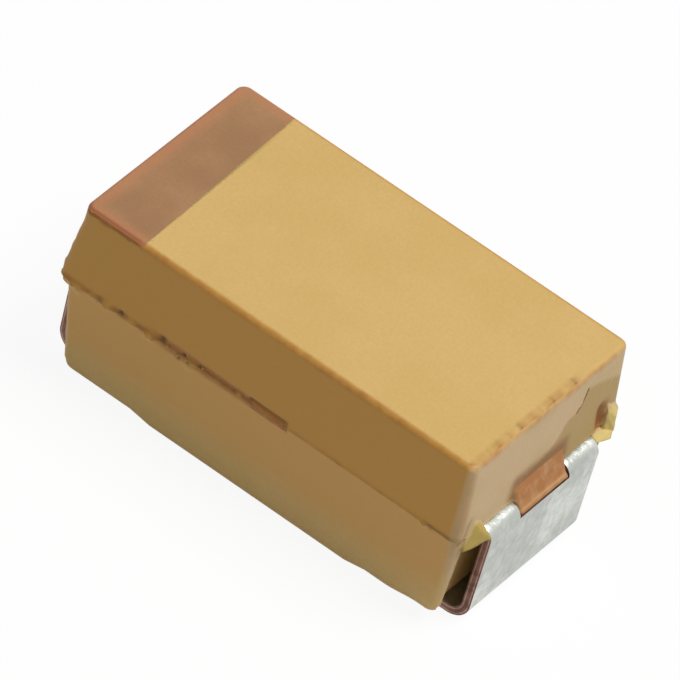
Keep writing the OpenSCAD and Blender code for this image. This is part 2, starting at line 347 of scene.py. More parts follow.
def outlineStations():
    # shares of the straight sides and the outward direction, anticlockwise from the cathode end
    radius = cornerRound
    endCount = round(2 * (halfWidth - radius) / pointSpacing)
    sideCount = round(2 * (halfLength - radius) / pointSpacing)
    sides = [((1, 0), endCount), ((0, 1), sideCount), ((-1, 0), endCount), ((0, -1), sideCount)]
    cornerSteps = 9
    stations = []
    for turn, (out, count) in enumerate(sides):
        ahead = (-out[1], out[0])
        for i in range(count + 1):
            share = 2 * i / count - 1
            stations.append((out[0] + share * ahead[0], out[1] + share * ahead[1], out[0], out[1]))
        for step in range(1, cornerSteps):
            angle = math.pi / 2 * (turn + step / cornerSteps)
            stations.append((out[0] + ahead[0], out[1] + ahead[1], math.cos(angle), math.sin(angle)))
    return np.array(stations), endCount, sideCount, cornerSteps


def undersideAt(x, y):
    # the plateau in the middle, the ramps, and the lands over the feet
    outer = footEndX - landMargin
    beside = (smoothStep(halfWidth - 0.4, halfWidth - 0.28, np.abs(y))
              * smoothStep(halfLength - 0.4, halfLength - 0.9, x))
    land = landZ - landDrop * beside
    share = np.clip((np.abs(x) - outer + landRamp) / landRamp, 0, 1)
    return baseZ + (land - baseZ) * share


def caseRings():
    # every ring of the case as an array of points, from the underside to the top
    stations, *counts = outlineStations()
    u, v, nx, ny = stations.T
    level = np.zeros(len(u))
    rings = []

    def ring(inset):
        return (u * (halfLength - inset - cornerRound) + cornerRound * nx,
                v * (halfWidth - inset - cornerRound) + cornerRound * ny)

    def addRing(inset, z):
        rings.append((*ring(inset), z + level))

    perimeter = np.stack([*ring(0), level], 1)
    ragged = 0.5 + 0.5 * noiseAt(perimeter, 5.0, 3.1) + 0.5 * noiseAt(perimeter, 17.0, 8.7)
    wander = noiseAt(perimeter, 9.0, 5.3)
    quarter = [math.pi / 2 * step / 7 for step in range(8)]

    footInset = mouldStep + (partingZ - baseZ) * lowerSlope
    for extra in (0.17, 0.13, 0.09, 0.045):
        inset = footInset + bottomRound + extra
        addRing(inset, undersideAt(*ring(inset)))
    for angle in quarter[::-1]:
        inset = footInset + bottomRound * (1 - math.cos(angle))
        addRing(inset, undersideAt(*ring(inset)) + bottomRound * (1 - math.sin(angle)))
    foot = undersideAt(*ring(0.1)) + bottomRound
    for share in (0.05, 0.1, 0.16, 0.24, 0.32, 0.4, 0.48, 0.56, 0.64, 0.72, 0.79, 0.85):
        z = foot + share * (partingZ - foot)
        addRing(mouldStep + (partingZ - z) * lowerSlope, z)
    for drop in (0.18, 0.16, 0.146, 0.14, 0.125, 0.112, 0.1, 0.085, 0.07, 0.055, 0.04, 0.028, 0.018, 0.009):
        addRing(mouldStep + drop * lowerSlope, partingZ - drop)
    reach = rimReach * np.clip(ragged, 0.05, 1.25)
    thick = rimThickness * np.clip(0.75 + 0.4 * wander, 0.3, 1.1)
    for lift, share in ((0.0, 0.55), (0.35, 1.0), (0.75, 0.9), (1.0, 0.2)):
        addRing(-reach * share, partingZ + lift * thick)
    for lift in (0.045, 0.06, 0.075, 0.09, 0.11, 0.135, 0.165, 0.2, 0.215, 0.25, 0.3, 0.35, 0.4, 0.45,
                 0.5, 0.55, 0.6, 0.65, 0.7, 0.75, 0.8, 0.85, 0.9, 0.95, 1.0, 1.035, 1.06, 1.085):
        addRing(lift * upperSlope, partingZ + lift)
    high = topRound + (crispTopRound - topRound) * smoothStep(0, 0.8, np.maximum(-nx, ny))
    topInset = (topZ - high - partingZ) * upperSlope
    for angle in quarter:
        addRing(topInset + high * (1 - math.cos(angle)), topZ - high + high * math.sin(angle))
    for extra in (0.02, 0.045, 0.08, 0.13):
        addRing(topInset + high + extra, topZ)
    return rings, counts


def shapeEnds(x, height, acrossY):
    # the pockets behind the leads and the bosses in their windows
    side = np.sign(x)
    atEnd = smoothStep(halfLength - 0.45, halfLength - 0.3, np.abs(x)) * (acrossY < halfWidth - 0.06)
    pocketHalf = leadHalf + pocketMargin
    inPocket = (smoothStep(pocketHalf + 0.013, pocketHalf - 0.013, acrossY)
                * smoothStep(-0.118, -0.135, height) * atEnd)
    newX = x - side * inPocket * pocketDepth

    bossHalf = windowWidth / 2
    onBoss = (smoothStep(bossHalf + 0.002, bossHalf - 0.026, acrossY) * atEnd
              * (height >= -bossDrop - 1e-4) * (height <= bossRise + 1e-4))
    noseX = np.interp(height, [-bossDrop, -bossDrop + 0.02, -lipDrop, bossRise],
                      [leadFaceX - 0.01, leadFaceX, leadFaceX - lipBack,
                       halfLength - bossRise * upperSlope])
    return newX * (1 - onBoss) + side * noseX * onBoss, onBoss, inPocket


def markNearSide(x, height, near, coarse, fine, marks):
    # flash bumps, pits, the brown line and the trimmed gate: how far each point moves into the case
    inward, onBlob = np.zeros(len(x)), np.zeros(len(x))
    for middleX, middleHeight, radius, bump in sideBlobs:
        spot = bell(np.hypot(x - middleX, height - middleHeight), radius) * near
        inward -= bump * spot
        onBlob = np.maximum(onBlob, spot)
        paint(marks, flash, spot * 0.35)
    # the pits sink into the case and are painted dark as shade
    for middleX, middleHeight, radius, depth in sidePits:
        spot = bell(np.hypot(x - middleX, height - middleHeight), radius) * near
        inward += depth * spot
        paint(marks, dark, spot)

    lineHeight = height - (0.03 - 0.015 * (x + 1.2) + 0.012 * coarse)
    brownRun = smoothStep(-1.9, -1.2, x) * smoothStep(0.05, -0.12, x) * near
    brownLine = smoothStep(0.125, 0.05, np.abs(lineHeight) + 0.02 * coarse) * brownRun
    inward += 0.012 * brownLine
    paint(marks, brown, brownLine * np.clip(0.8 + 0.3 * coarse, 0, 1))
    paint(marks, dark, bell(lineHeight - 0.015, 0.03) * brownRun * 0.32)
    paint(marks, brown, bell(height - 0.02, 0.035) * near * (0.22 + 0.2 * fine) * smoothStep(0.2, 0.6, x))
    paint(marks, dark, bell(height - 0.02, 0.03) * near * smoothStep(2.4, 2.55, x) * 0.55)
    leftLine = smoothStep(0.08, 0.02, np.abs(height - 0.02) + 0.02 * fine) * near * smoothStep(-1.1, -1.5, x)
    paint(marks, brown, leftLine * 0.7)
    paint(marks, dark, leftLine * np.clip(0.2 - 0.5 * coarse, 0, 0.45))
    marks[:, :2] *= 1 - 0.9 * np.clip(onBlob * 1.4, 0, 1)[:, None]

    gateX = np.abs(x - gateMark["x"]) - gateMark["length"] / 2
    gateZ = np.abs(height - gateMark["rise"] + gateMark["height"] / 2) - gateMark["height"] / 2
    onGate = smoothStep(0.012, -0.012, np.maximum(gateX, gateZ)) * near
    paint(marks, brown, onGate * 0.85)
    marks[:, flash] *= 1 - onGate
    gateTop = (smoothStep(0.03, 0.0, np.abs(height - gateMark["rise"] - 0.005))
               * smoothStep(0.03, -0.03, gateX))
    gateEnd = (smoothStep(0.035, 0.0, np.abs(x - gateMark["x"] - gateMark["length"] / 2))
               * smoothStep(0.04, -0.01, gateZ))
    # painted shade in the groove along the top and the end of the gate
    groove = np.maximum(gateTop, gateEnd) * near
    paint(marks, dark, groove * 0.6)
    return inward - gateMark["proud"] * onGate + gateMark["groove"] * groove


def markTopEdges(x, y, fromTop, coarse, fine, marks):
    # browner where the mould wore and beside the bar; chipped spots at the cathode end, as a share of 1
    edge = smoothStep(0.0, 0.004, fromTop) * smoothStep(0.1 + 0.04 * coarse, 0.03, fromTop)
    paint(marks, brown, edge * np.clip(0.4 + 0.3 * coarse + 0.3 * fine, 0, 1))
    besideBar = (smoothStep(0.0, 0.01, fromTop) * smoothStep(0.1 + 0.04 * fine, 0.05, fromTop)
                 * smoothStep(barHigh.x + 0.08, barHigh.x - 0.1, x) * (y < -halfWidth + 0.2))
    paint(marks, brown, besideBar)
    paint(marks, dark, besideBar * 0.3)

    reach = smoothStep(halfLength - 0.2, halfLength - 0.15, x) * bell(fromTop - 0.007, 0.009)
    chip = np.zeros(len(x))
    for spotY, halfSpot, strength in edgeSpots:
        chip = np.maximum(chip, strength * bell(y - spotY, halfSpot))
    nowhere = np.zeros(len(y))
    alongEdge = noiseAt(np.stack([nowhere, y, nowhere], 1), 6.0, 2.0)
    joined = np.clip(0.5 + 0.9 * alongEdge, 0, 0.85) * smoothStep(0.75, 0.5, y)
    marks[:, brown] = np.maximum(marks[:, brown] * (1 - 0.7 * reach), np.maximum(chip, joined) * reach)
    paint(marks, dark, chip * reach * 0.45)
    return chip * reach


def markEnds(x, y, height, acrossY, onBoss, inPocket, marks):
    # painted shade in the hollow and slot beside the flakes and over the boss, the boss's own brown with a
    # painted highlight along its lip and painted shadow under it, browner pockets as painted shade, and the
    # painted shade of the lower end face
    onEnd = smoothStep(halfLength - 0.13, halfLength - 0.08, x)
    # painted shade in the hollow beside the far flake
    hollow = (bell(y - endHollow["y"] + endHollow["slant"] * (height - endHollow["height"]),
                   endHollow["halfWidth"])
              * np.exp(-((height - endHollow["height"]) / endHollow["halfHeight"]) ** 4)) * onEnd
    paint(marks, brown, np.clip(hollow * 1.6, 0, 1))
    paint(marks, dark, hollow * 0.55)
    # painted shade in the slot beside the near flake
    slot = (bell(y - endSlot["y"] - endSlot["slant"] * height, endSlot["halfWidth"])
            * smoothStep(-0.16, -0.08, height) * smoothStep(0.36, 0.2, height) * onEnd)
    paint(marks, dark, slot * 0.5)
    # painted shade over the boss, browner and darker towards it
    overBoss = (smoothStep(0.64, 0.44, acrossY) * smoothStep(-0.02, 0.06, height)
                * smoothStep(0.46, 0.27, height) * onEnd)
    paint(marks, brown, overBoss * 0.75)
    paint(marks, dark, overBoss * (1 - onBoss) * 0.52)
    paint(marks, brown, onBoss * 0.9)
    # a painted highlight along the boss's front face, and painted shadow along its underside
    fromBottom = height + bossDrop
    marks[:, brown] *= 1 - 0.6 * smoothStep(0.014, 0.0, np.abs(fromBottom - 0.05)) * onBoss
    paint(marks, dark, smoothStep(0.03, 0.01, fromBottom) * onBoss * 0.8)
    # painted shade: the pocket behind each lead is browner
    paint(marks, brown, inPocket * 0.35)
    upright = (smoothStep(halfLength - 0.12, halfLength - 0.06, x)
               * smoothStep(-halfWidth + 0.16, -halfWidth + 0.06, y))
    paint(marks, brown, upright * 0.3)

    # painted shade: below the shadeLimit line the cathode end face turns olive
    limit = np.interp(y, *zip(*shadeLimit))
    marks[:, oliveShade] = (smoothStep(0.03, -0.03, height - limit) * smoothStep(-0.75, -0.3, y)
                       * smoothStep(halfLength - 0.2, halfLength - 0.1, x) * (1 - onBoss))
    return endHollow["depth"] * hollow + endSlot["depth"] * slot


def shapeCase(x, y, z):
    # what the ends, the marks and the wear do to the places and the colours of these points
    height = z - partingZ
    acrossY = np.abs(y - leadY)
    points = np.stack([x, y, z], 1)
    coarse = noiseAt(points, 2.3, 11.0)
    fine = noiseAt(points, 11.0, 4.0)
    marks = np.zeros((len(x), 4))

    newX, onBoss, inPocket = shapeEnds(x, height, acrossY)
    near = (y < -halfWidth + 0.28) & (np.abs(x) < halfLength)
    newY = y + markNearSide(x, height, near, coarse, fine, marks)
    atCorner = (smoothStep(-halfLength + 0.3, -halfLength + 0.02, x)
                * smoothStep(-halfWidth + 0.42, -halfWidth + 0.1, y))
    newX = newX - atCorner * np.interp(height, *zip(*cornerSwell)) * (1 + 0.2 * fine)
    chipped = markTopEdges(x, y, topZ - z, coarse, fine, marks)
    newX = newX - 0.012 * chipped - markEnds(x, y, height, acrossY, onBoss, inPocket, marks)
    return newX, newY, z - 0.008 * chipped, marks


def skinFaces(count, levels):
    # quads between rings of this many points
    return [(low + i, low + (i + 1) % count, low + count + (i + 1) % count, low + count + i)
            for low in range(0, count * levels, count) for i in range(count)]


def makeCaseShell():
    rings, (endCount, sideCount, cornerSteps) = caseRings()
    count = len(rings[0][0])
    shaped = [shapeCase(*ring) for ring in rings]
    vertices = np.concatenate([np.stack(places, 1) for *places, _ in shaped])
    colours = np.concatenate([marks for *_, marks in shaped])
    faces = skinFaces(count, len(rings) - 1)

    # caps: strips from one long side to the other, and one flat face at each end
    firstFar = endCount + cornerSteps
    firstNear = 2 * endCount + sideCount + 3 * cornerSteps
    for level, upward in ((0, False), (len(rings) - 1, True)):
        low = level * count
        far = [low + firstFar + i for i in range(sideCount + 1)]            # runs towards the anode
        near = [low + (firstNear + sideCount - i) % count for i in range(sideCount + 1)]
        for i in range(sideCount):
            quad = (near[i], far[i], far[i + 1], near[i + 1])
            faces.append(quad if upward else quad[::-1])
        cathode = [low + (firstNear + sideCount + i) % count for i in range(endCount + 2 * cornerSteps + 1)]
        anode = [low + firstFar + sideCount + i for i in range(endCount + 2 * cornerSteps + 1)]
        for cap in (cathode, anode):
            faces.append(tuple(cap) if upward else tuple(cap[::-1]))
    shell = newObject("caseBlock", vertices, faces)
    attribute = shell.data.attributes.new("marks", "FLOAT_COLOR", "POINT")
    attribute.data.foreach_set("color", colours.ravel())
    return shell


caseBlock = makeCaseShell()
print("case shell:", len(caseBlock.data.polygons), "faces")


# ---- the terminals, each one a strip folded along its route ----

def ahead(heading):
    return Vector((math.cos(math.radians(heading)), math.sin(math.radians(heading))))


def leftOf(heading):
    return Vector((-math.sin(math.radians(heading)), math.cos(math.radians(heading))))


def stripRoute(place, heading, moves):
    # stations (place, heading) along the strip's middle line, for moves of (run, turn, radius)
    stations = []
    for run, turn, radius in moves:
        for share in np.linspace(0, 1, max(2, round(run / 0.06)), endpoint=turn == 0):
            stations.append((place + ahead(heading) * run * share, heading))
        place = place + ahead(heading) * run
        if turn:
            turnSide = math.copysign(1, turn)
            centre = place + turnSide * radius * leftOf(heading)
            for step in range(12):
                turned = heading + turn * step / 12
                stations.append((centre - turnSide * radius * leftOf(turned), turned))
            place = centre - turnSide * radius * leftOf(heading + turn)
            heading += turn
    return stations


def outsideMoves(outletRun, leanDegrees):
    # out of the case, down the end wall and under the case
    half = stripThickness / 2
    shoulder, heel = shoulderBend + half, heelBend + half
    lean = math.radians(leanDegrees)
    endRun = ((partingZ - stripThickness - shoulder * (1 + math.sin(lean))
               - heel * (1 - math.sin(lean))) / math.cos(lean))
    heelX = halfLength + (shoulder - heel) * math.cos(lean) - endRun * math.sin(lean)
    return [(outletRun, -90 - leanDegrees, shoulder), (endRun, -90 + leanDegrees, heel),
            (heelX - footEndX, 0, 0)]


def markLayers(terminal, rows, mirror):
    # how far each point lies from the strip's middle surface, -1 to 1 through its thickness
    places = pointsOf(terminal.data)[:, (0, 2)] * (mirror, 1)
    middles = np.array([tuple(place) for place, _ in rows])
    normals = np.array([tuple(leftOf(heading)) for _, heading in rows])
    nearest = np.argmin(((places[:, None] - middles[None]) ** 2).sum(2), 1)
    away = ((places - middles[nearest]) * normals[nearest]).sum(1)
    attribute = terminal.data.attributes.new("layer", "FLOAT", "POINT")
    attribute.data.foreach_set("value", np.clip(away / (stripThickness / 2), -1, 1))


def makeTerminal(name, stations, turnedRound):
    # middle surface on a grid that leaves the window open, then thickened and rounded
    halfStrip, halfWindow = leadHalf, windowWidth / 2
    columns = np.unique(np.round(np.concatenate([
        np.linspace(-halfStrip, -halfWindow, 9), np.linspace(-halfWindow, halfWindow, 13),
        np.linspace(halfWindow, halfStrip, 9)]), 6))
    windowStart = halfLength - windowInset
    windowEnd = partingZ - windowDrop
    rows = []
    for (here, heading), (after, _) in zip(stations, stations[1:] + stations[-1:]):
        rows.append((here, heading))
        for axis, level in ((0, windowStart), (1, windowEnd)):
            nearWindow = here[0] > windowStart - 0.1 and here[1] > 1
            if nearWindow and (here[axis] - level) * (after[axis] - level) < 0:
                share = (level - here[axis]) / (after[axis] - here[axis])
                if 0.1 < share < 0.9:
                    rows.append((here.lerp(after, share), heading))
    mirror = -1 if turnedRound else 1
    vertices = [(mirror * place[0], leadY + y, place[1]) for place, _ in rows for y in columns]
    faces = []
    wide = len(columns)
    for i, ((here, _), (after, _)) in enumerate(zip(rows, rows[1:])):
        middle = (here + after) / 2
        windowRow = middle[0] > windowStart and middle[1] > windowEnd
        for j in range(wide - 1):
            if windowRow and abs(columns[j] + columns[j + 1]) / 2 < halfWindow:
                continue
            quad = (i * wide + j, i * wide + j + 1, (i + 1) * wide + j + 1, (i + 1) * wide + j)
            faces.append(quad if turnedRound else quad[::-1])
    terminal = newObject(name, vertices, faces)
    thicken = terminal.modifiers.new("thicken", "SOLIDIFY")
    thicken.thickness = stripThickness
    thicken.offset = 0
    thicken.use_even_offset = True
    thicken.material_offset_rim = 1
    rounding = terminal.modifiers.new("round", "BEVEL")
    rounding.width = edgeRound
    rounding.segments = 3
    rounding.limit_method = "ANGLE"
    rounding.angle_limit = math.radians(60)
    for filler in ("plating", "cutEdge"):
        terminal.data.materials.append(bpy.data.materials.get(filler) or bpy.data.materials.new(filler))
    bakeModifiers(terminal)
    markLayers(terminal, rows, mirror)
    return terminal


def cadCopy(node, name):
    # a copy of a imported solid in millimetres, with its doubled points merged
    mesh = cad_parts[node].data.copy()
    mesh.transform(Matrix.Scale(1 / mm, 4))
    shape = bmesh.new()
    shape.from_mesh(mesh)
    bmesh.ops.remove_doubles(shape, verts=shape.verts, dist=1e-5)
    return fromShape(name, shape)


def makeTerminals():
    # both terminals; the inner ends carry on to the paddle and to the pad under the wire
    half = stripThickness / 2
    bend = shoulderBend + half
    leadZ = partingZ - half
    adhesiveLow, adhesiveHigh = boxInMm("silver_adhesive")
    paddleZ = adhesiveLow.z - half
    riserX = adhesiveHigh.x + half
    paddleRun = riserX - bend - leadLow.x
    cathodeMoves = [(paddleRun, 90, bend), (leadZ - paddleZ - 2 * bend, -90, bend)]
    cathode = makeTerminal("cathodeTerminal", stripRoute(
        Vector((leadLow.x, paddleZ)), 0,
        cathodeMoves + outsideMoves(halfLength - riserX - bend, cathodeLean)), False)

    wireLow = boxInMm("riser_wire")[0]
    padEndX = boxInMm("anode_lead")[1].x
    padRun, crank, weldSink = 0.42, 45, 0.03
    padZ = wireLow.z + weldSink - half
    slope = math.sin(math.radians(crank))
    crankRun = (leadZ - padZ - 2 * bend * (1 - math.cos(math.radians(crank)))) / slope
    crankLength = 2 * bend * slope + crankRun * math.cos(math.radians(crank))
    anodeMoves = [(padRun, crank, bend), (crankRun, -crank, bend)]
    anode = makeTerminal("anodeTerminal", stripRoute(
        Vector((-padEndX, padZ)), 0,
        anodeMoves + outsideMoves(halfLength + padEndX - padRun - crankLength,
                                  anodeLean)), True)
    wire = cadCopy("riser_wire", "wireCutter")
    combine(anode, wire, "DIFFERENCE")
    discard(wire)
    return cathode, anode


cathodeTerminal, anodeTerminal = makeTerminals()
print("terminals:", len(cathodeTerminal.data.polygons) + len(anodeTerminal.data.polygons), "faces")


# ---- flakes of flash, joined to the case, and the bar and the cavity cut out of it ----

def hullShape(points):
    shape = bmesh.new()
    for point in points:
        shape.verts.new(point)
    bmesh.ops.convex_hull(shape, input=shape.verts)
    return shape


def ruggedSolid(name, corners, roughness, seed):
    # a rough solid through these corners, with softened and pitted faces
    shape = hullShape(corners)
    bmesh.ops.subdivide_edges(shape, edges=shape.edges, cuts=7, use_grid_fill=True)
    bmesh.ops.triangulate(shape, faces=shape.faces)
    bmesh.ops.recalc_face_normals(shape, faces=shape.faces)
    shape.normal_update()
    moves = []
    for vertex in shape.verts:
        place = vertex.co * 9 + Vector((seed, -seed, seed * 0.5))
        moves.append(vertex.normal * roughness * (noise.noise(place) + 0.5 * noise.noise(place * 2.7)))
    for vertex, move in zip(shape.verts, moves):
        vertex.co += move
    return fromShape(name, shape)


# flakes beside each lead: end, roughness, and corners (how far out of the end, y, height)
flakes = {
    "cathodeNear": (1, 0.012, [
        (-0.06, -1.07, 0.09), (-0.1, -1.47, -0.2), (-0.07, -1.3, 0.31), (-0.08, -1.08, -0.2),
        (0.165, -1.085, -0.1), (0.1, -1.2, -0.13), (0.03, -1.45, -0.17), (0.06, -1.25, 0.1)]),
    "cathodeFar": (1, 0.014, [
        (-0.1, 1.3, -0.2), (-0.1, 1.5, -0.16), (-0.06, 1.31, 0.42), (-0.06, 1.5, 0.3), (0.0, 1.555, 0.12),
        (0.09, 1.4, 0.13), (0.11, 1.37, -0.07), (0.03, 1.27, -0.12), (0.02, 1.3, 0.25)]),
    "cathodeFoot": (1, 0.01, [
        (-0.1, 1.08, -0.17), (-0.1, 1.42, -0.2), (-0.08, 1.1, -0.03), (-0.08, 1.4, -0.02),
        (0.09, 1.07, -0.08), (0.15, 1.28, -0.11), (0.1, 1.38, -0.06), (0.07, 1.12, -0.13)]),
    "anodeNear": (-1, 0.014, [
        (-0.06, -1.09, 0.1), (-0.1, -1.48, -0.2), (-0.07, -1.36, 0.34), (-0.08, -1.08, -0.2),
        (0.13, -1.1, -0.1), (0.11, -1.3, -0.04), (0.11, -1.43, -0.05), (0.06, -1.47, -0.15)]),
    "anodeFar": (-1, 0.012, [
        (-0.06, 1.1, -0.18), (-0.1, 1.48, -0.12), (-0.06, 1.4, 0.24), (-0.06, 1.15, 0.08),
        (0.12, 1.13, -0.07), (0.1, 1.32, -0.05), (0.03, 1.48, 0.1)]),
}
for seed, (flakeName, (side, roughness, corners)) in enumerate(flakes.items()):
    places = [(side * (halfLength + out), y, partingZ + height) for out, y, height in corners]
    flake = ruggedSolid(flakeName, places, roughness, 3.7 * seed + 1)
    combine(caseBlock, flake, "UNION")
    discard(flake)


def makeCrackCutter():
    # a thin wedge along the crack, narrower and shallower towards its lower end
    count = len(endCrack)
    vertices, faces = [], []
    for i, (y, height) in enumerate(endCrack):
        before, after = endCrack[max(i - 1, 0)], endCrack[min(i + 1, count - 1)]
        along = Vector((after[0] - before[0], after[1] - before[1])).normalized()
        fade = 1 - i / count
        half = 0.011 * fade + 0.001
        wall = halfLength - height * upperSlope
        sideways = Vector((-along.y, along.x)) * half
        vertices += [(wall + 0.05, y + sideways.x * 2, partingZ + height + sideways.y * 2),
                     (wall + 0.05, y - sideways.x * 2, partingZ + height - sideways.y * 2),
                     (wall - 0.008 - 0.03 * fade, y, partingZ + height)]
    for i in range(count - 1):
        for j in range(3):
            k = (j + 1) % 3
            faces.append((3 * i + j, 3 * i + k, 3 * i + 3 + k, 3 * i + 3 + j))
    faces += [(2, 1, 0), (3 * count - 3, 3 * count - 2, 3 * count - 1)]
    shape = bmesh.new()
    corners = [shape.verts.new(vertex) for vertex in vertices]
    for face in faces:
        shape.faces.new([corners[i] for i in face])
    bmesh.ops.recalc_face_normals(shape, faces=shape.faces)
    return fromShape("crackCutter", shape)


def settleMarks(piece):
    # points made by a boolean come out with full marks and get none, but for the crack, which is painted dark
    # as shade; what stands out of the end walls beside the leads gets the colour of flash
    x, y, z = pointsOf(piece.data).T
    height = z - partingZ
    wall = halfLength - np.where(height > 0, height * upperSlope, mouldStep - height * lowerSlope)
    onFlake = ((np.abs(x) > wall + rimReach + 0.006) & (np.abs(y) > leadHalf - 0.04)
               & (np.abs(y) < halfWidth) & (height > -0.3) & (height < 0.5))
    marks = piece.data.attributes["marks"].data
    colours = np.zeros(len(x) * 4)
    marks.foreach_get("color", colours)
    colours = colours.reshape(-1, 4)
    made = (colours > 0.999).all(1)
    (lowY, lowHeight), (highY, highHeight) = endCrack[-1], endCrack[0]
    margin = 0.03
    onCrack = (made & (x > 0) & (y > lowY - margin) & (y < highY + margin)
               & (height > lowHeight - margin) & (height < highHeight + margin))
    colours[made] = 0
    # painted shade in the crack
    colours[onCrack] = (0.5, 1, 0, 0)
    colours[onFlake] = (0, 0, 1, 0)
    colours[onFlake & (x < 0) & (y < 0)] = (0.15, 0, 0, 0)
    marks.foreach_set("color", colours.ravel())


crackCutter = makeCrackCutter()
combine(caseBlock, crackCutter, "DIFFERENCE")
discard(crackCutter)
print("flakes joined")


def makeBarCutter():
    # a slab over the marked end, with the slightly ragged and askew inner edge of the mark
    edgeX = barHigh.x
    count = 90
    span = np.linspace(-halfWidth - 0.2, halfWidth + 0.2, count)
    ragged = [noise.noise(Vector((y * 7, 1.7, 0))) * 0.008 + noise.noise(Vector((y * 31, 4.2, 0))) * 0.005
              for y in span]
    inner = edgeX - 0.02 - 0.045 * span / halfWidth + ragged
    low, high, outer = barLow.z, topZ + 0.2, -halfLength - 0.3
    vertices = ([(x, y, low) for x, y in zip(inner, span)] + [(x, y, high) for x, y in zip(inner, span)]
                + [(outer, y, low) for y in span] + [(outer, y, high) for y in span])
    faces = []
    for i in range(count - 1):
        faces += [(i, i + 1, count + i + 1, count + i),
                  (2 * count + i, 3 * count + i, 3 * count + i + 1, 2 * count + i + 1),
                  (i, 2 * count + i, 2 * count + i + 1, i + 1),
                  (count + i, count + i + 1, 3 * count + i + 1, 3 * count + i)]
    for i in (0, count - 1):
        faces.append((i, count + i, 3 * count + i, 2 * count + i)[::1 if i == 0 else -1])
    return newObject("barCutter", vertices, faces)


barCutter = makeBarCutter()
polarityBar = placeObject("polarityBar", caseBlock.data.copy())
combine(polarityBar, barCutter, "INTERSECT")
combine(caseBlock, barCutter, "DIFFERENCE")
discard(barCutter)
for terminal in (cathodeTerminal, anodeTerminal):
    combine(caseBlock, terminal, "DIFFERENCE")


def makeElementCutter():
    # the room that the element takes up in the case; its washer, its wire and the adhesive get cutters of
    # their own in cutCavity
    pelletLow, pelletHigh = boxInMm("pellet")
    steps = []
    for node in ("manganese_dioxide", "graphite", "silver_paint"):
        low, high = boxInMm(node)
        steps.append((low.x, high.y, high.z - (low.z + high.z) / 2))
    endX = boxInMm("silver_paint")[1].x
    middleZ = (pelletLow.z + pelletHigh.z) / 2
    edge = 0.12
    rings = []
    for (x, halfY, halfZ), after in zip(steps, steps[1:] + [(endX, 0, 0)]):
        radius = edge + halfY - pelletHigh.y
        outline = []
        for corner, (signY, signZ) in enumerate(((1, 1), (-1, 1), (-1, -1), (1, -1))):
            for step in range(7):
                angle = math.pi / 2 * (corner + step / 6)
                outline.append((signY * (halfY - radius) + radius * math.cos(angle),
                                middleZ + signZ * (halfZ - radius) + radius * math.sin(angle)))
        rings += [[(x, y, z) for y, z in outline], [(after[0], y, z) for y, z in outline]]
    count = len(rings[0])
    faces = [tuple(reversed(range(count))), tuple(range(count * 5, count * 6))]
    faces += skinFaces(count, len(rings) - 1)
    return newObject("elementCutter", [p for ring in rings for p in ring], faces)


def hullOf(name, points):
    shape = hullShape(points)
    bmesh.ops.recalc_face_normals(shape, faces=shape.faces)
    return fromShape(name, shape)


def blockBetween(name, low, high):
    return hullOf(name, [(x, y, z) for x in (low[0], high[0]) for y in (low[1], high[1])
                         for z in (low[2], high[2])])


def cutCavity():
    # each cutter reaches a little into its neighbour, so that no film of resin is left between
    over = 0.01
    silverLow, silverHigh = boxInMm("silver_paint")
    low, high = boxInMm("silver_adhesive")
    washer = [mmPoint + Vector((over, 0, 0)) * (mmPoint.x > boxInMm("wire_washer")[1].x - over)
              for mmPoint in (v.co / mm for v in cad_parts["wire_washer"].data.vertices)]
    cutters = [
        makeElementCutter(), hullOf("washerCutter", washer), cadCopy("riser_wire", "wireCutter"),
        blockBetween("underCutter", (low.x, low.y, low.z - over), (high.x, high.y, silverLow.z + over)),
        blockBetween("behindCutter", (silverHigh.x - over, low.y, low.z + over),
                     (high.x + over, high.y, high.z)),
    ]
    for cutter in cutters:
        combine(caseBlock, cutter, "DIFFERENCE")
        discard(cutter)


cutCavity()
settleMarks(caseBlock)
settleMarks(polarityBar)
print("case:", len(caseBlock.data.polygons), "faces, bar:", len(polarityBar.data.polygons))


# ---- materials ----

def splitPlace(tree, place):
    return addNode(tree, "ShaderNodeSeparateXYZ", {"Vector": place}).outputs


